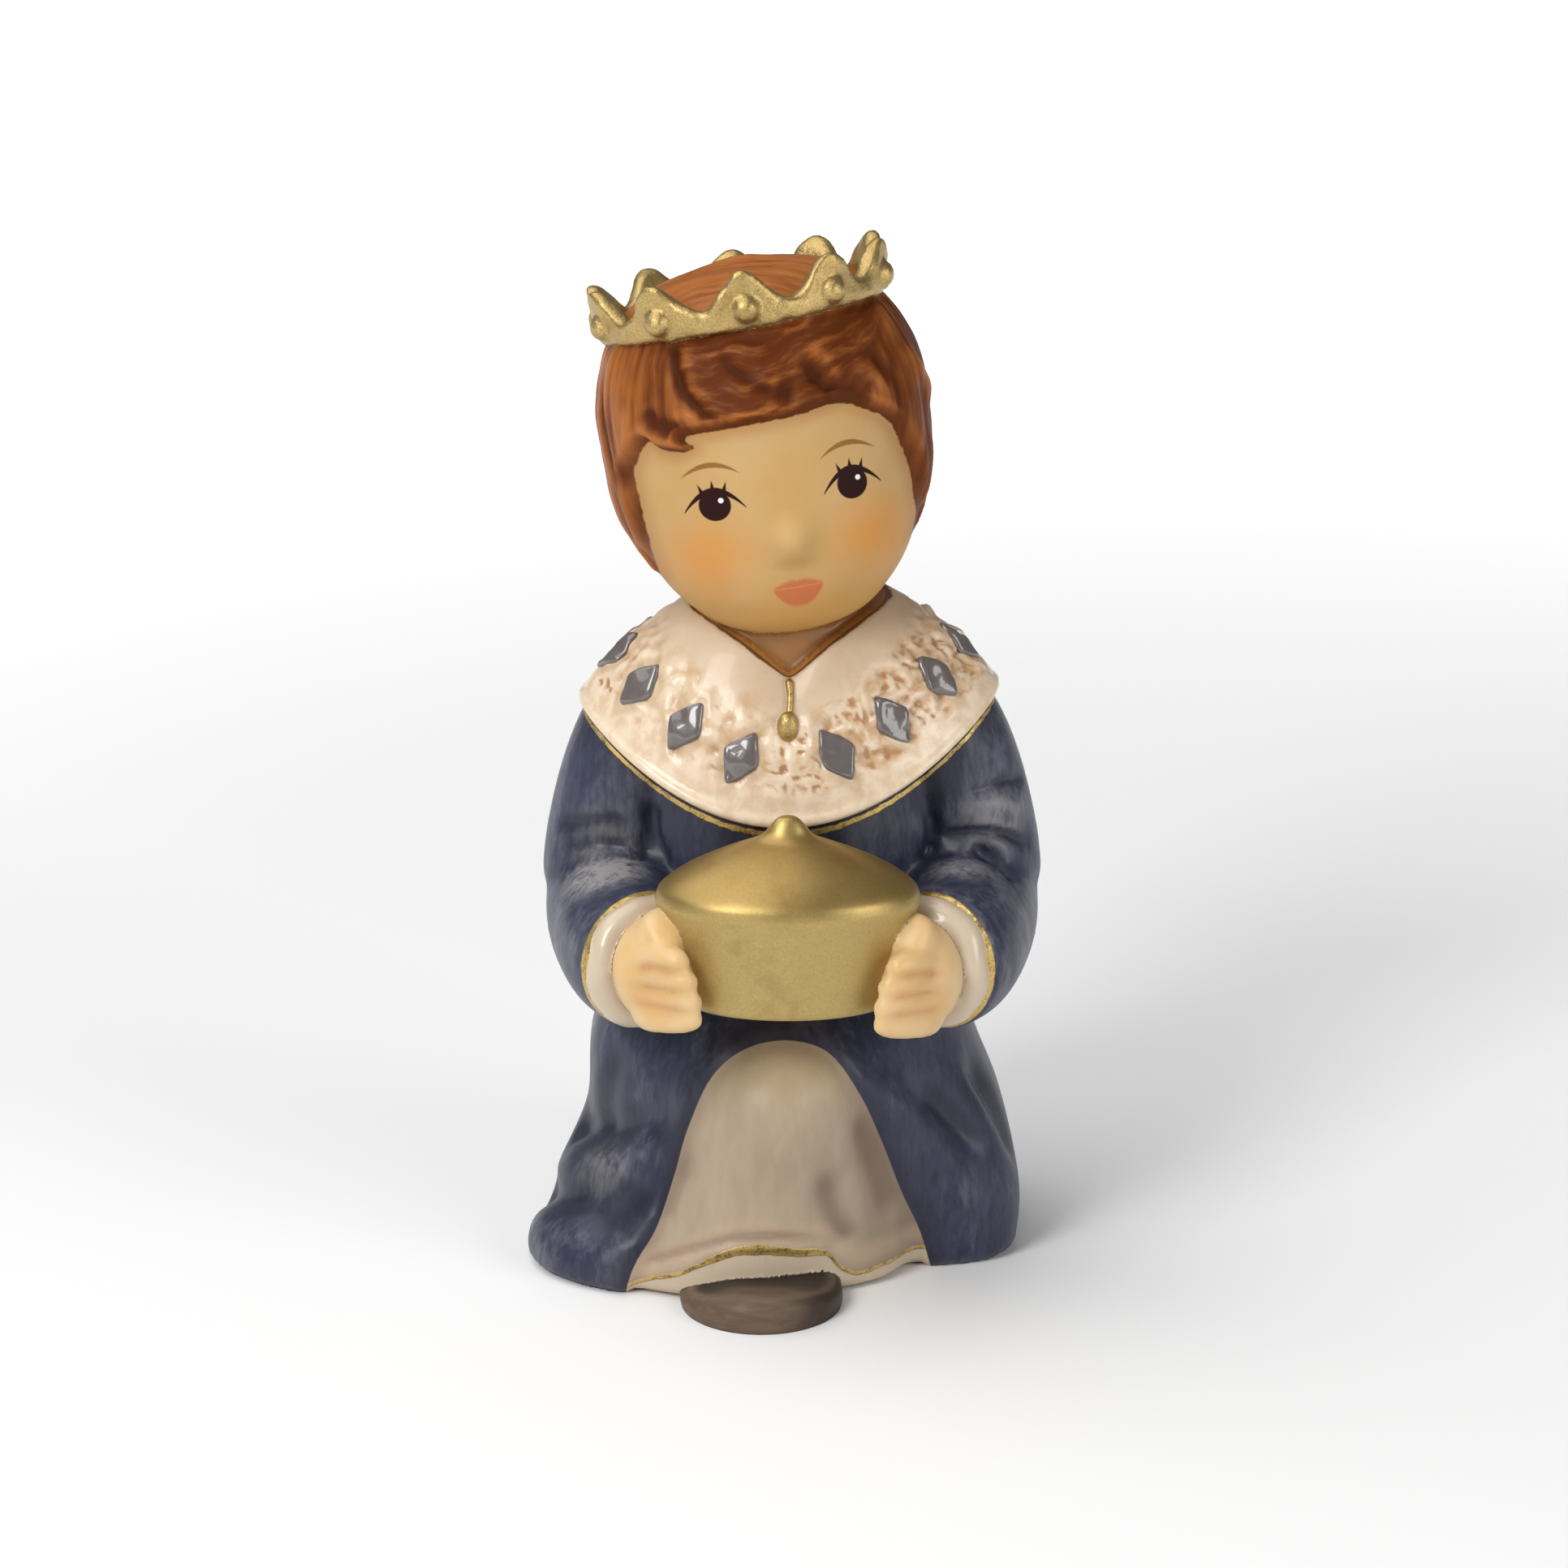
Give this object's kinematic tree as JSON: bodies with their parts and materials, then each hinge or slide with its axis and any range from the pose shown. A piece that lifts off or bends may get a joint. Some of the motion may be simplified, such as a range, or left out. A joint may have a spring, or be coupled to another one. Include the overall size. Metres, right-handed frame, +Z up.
{
  "type": "nativity figurine",
  "caption": "Small glazed ceramic nativity figurine of a kneeling crowned wise man in a blue coat with a spotted fur collar, holding a lidded gold vessel.",
  "frame": {"origin": "on the flat underside, under the middle of the figure's body", "axes": "+Z up, the figure faces -Y, +X to the right of somebody looking at its face"},
  "size_m": [0.0411, 0.0439, 0.0832],
  "materials": {
    "painted_ceramic": "hand-painted and glazed, satin to gloss"
  },
  "bodies": {
    "root": {"wise_man_figurine": "painted_ceramic"}
  },
  "joints": []
}
